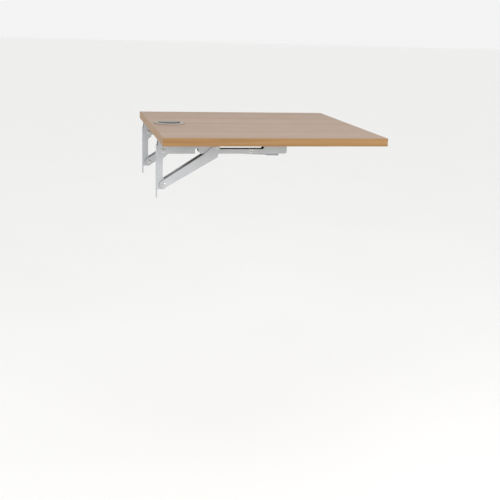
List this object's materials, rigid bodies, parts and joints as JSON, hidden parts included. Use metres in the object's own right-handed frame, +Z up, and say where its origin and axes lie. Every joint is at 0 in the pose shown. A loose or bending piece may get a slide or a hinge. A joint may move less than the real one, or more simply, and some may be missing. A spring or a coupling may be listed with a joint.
{
  "type": "fold-down side shelf",
  "caption": "Laminate side shelf with a cable grommet, hinged on locking folding brackets so that it hangs flat against the wall when released.",
  "frame": {"origin": "on the wall plane, midway between the two brackets, level with the leaf's underside", "axes": "+X out from the wall, +Y from the front edge towards the rear edge, +Z up"},
  "size_m": [0.545, 0.572, 0.1624],
  "materials": {
    "laminate": "satin beige laminate with a fine straight grain",
    "chipboard": "raw particle board",
    "edge_band": "satin golden tan edge band with a fine grain",
    "grommet_plastic": "matte moulded grey",
    "bracket_steel": "satin light grey",
    "lever_steel": "satin mid grey",
    "zinc_steel": "bright zinc plate",
    "spring_steel": "oiled spring wire"
  },
  "bodies": {
    "base": {"front_wall_plate": "bracket_steel", "front_fold_pin": "zinc_steel", "front_strut_pin": "zinc_steel", "rear_wall_plate": "bracket_steel", "rear_fold_pin": "zinc_steel", "rear_strut_pin": "zinc_steel"},
    "leaf": {"leaf_core": "chipboard", "top_laminate": "laminate", "bottom_laminate": "laminate", "edge_band_front": "edge_band", "edge_band_rear": "edge_band", "edge_band_outer": "edge_band", "edge_band_inner": "edge_band", "grommet_ring": "grommet_plastic", "front_arm": "bracket_steel", "front_lever_rivet": "zinc_steel", "front_lever_spring": "spring_steel", "front_leaf_screw_1": "zinc_steel", "front_leaf_screw_2": "zinc_steel", "front_leaf_screw_3": "zinc_steel", "rear_arm": "bracket_steel", "rear_lever_rivet": "zinc_steel", "rear_lever_spring": "spring_steel", "rear_leaf_screw_1": "zinc_steel", "rear_leaf_screw_2": "zinc_steel", "rear_leaf_screw_3": "zinc_steel"},
    "front_strut_set": {"front_strut": "bracket_steel", "front_pin_head_outer": "zinc_steel", "front_pin_head_inner": "zinc_steel"},
    "front_slider": {"front_slot_pin": "zinc_steel"},
    "front_lever_set": {"front_lever": "lever_steel"},
    "rear_strut_set": {"rear_strut": "bracket_steel", "rear_pin_head_outer": "zinc_steel", "rear_pin_head_inner": "zinc_steel"},
    "rear_slider": {"rear_slot_pin": "zinc_steel"},
    "rear_lever_set": {"rear_lever": "lever_steel"},
    "cap": {"grommet_cap": "grommet_plastic"}
  },
  "joints": [
    {"name": "leaf_fold", "type": "hinge", "parent": "base", "child": "leaf", "pos_m": [0.015, 0, -0.025], "axis": [0, 1, 0], "range_deg": [0, 90]},
    {"name": "front_strut_fold", "type": "hinge", "parent": "base", "child": "front_strut_set", "pos_m": [0.017, -0.174, -0.107], "axis": [0, 1, 0], "range_deg": [0, 122.71]},
    {"name": "front_pin_slide", "type": "slide", "parent": "leaf", "child": "front_slider", "axis": [1, 0, 0], "range_m": [0, 0.10855]},
    {"name": "front_lever_press", "type": "hinge", "parent": "leaf", "child": "front_lever_set", "pos_m": [0.2315, -0.174, -0.0262], "axis": [0, -1, 0], "range_deg": [0, 3.5], "stiffness_Nm_per_rad": 8, "springref_deg": -1.72, "deforming": ["front_lever_spring"]},
    {"name": "rear_strut_fold", "type": "hinge", "parent": "base", "child": "rear_strut_set", "pos_m": [0.017, 0.174, -0.107], "axis": [0, 1, 0], "range_deg": [0, 122.71]},
    {"name": "rear_pin_slide", "type": "slide", "parent": "leaf", "child": "rear_slider", "axis": [1, 0, 0], "range_m": [0, 0.10855]},
    {"name": "rear_lever_press", "type": "hinge", "parent": "leaf", "child": "rear_lever_set", "pos_m": [0.2315, 0.174, -0.0262], "axis": [0, -1, 0], "range_deg": [0, 3.5], "stiffness_Nm_per_rad": 8, "springref_deg": -1.72, "deforming": ["rear_lever_spring"]},
    {"name": "grommet_cap_turn", "type": "hinge", "parent": "leaf", "child": "cap", "pos_m": [0.053, 0, 0.022], "axis": [0, 0, 1], "continuous": true}
  ],
  "couplings": [
    {"joint": "front_strut_fold", "follows": "leaf_fold", "ratio": 1.3632},
    {"joint": "front_pin_slide", "follows": "leaf_fold", "m_per_rad": 0.069038},
    {"joint": "rear_strut_fold", "follows": "leaf_fold", "ratio": 1.3632},
    {"joint": "rear_pin_slide", "follows": "leaf_fold", "m_per_rad": 0.069038}
  ]
}
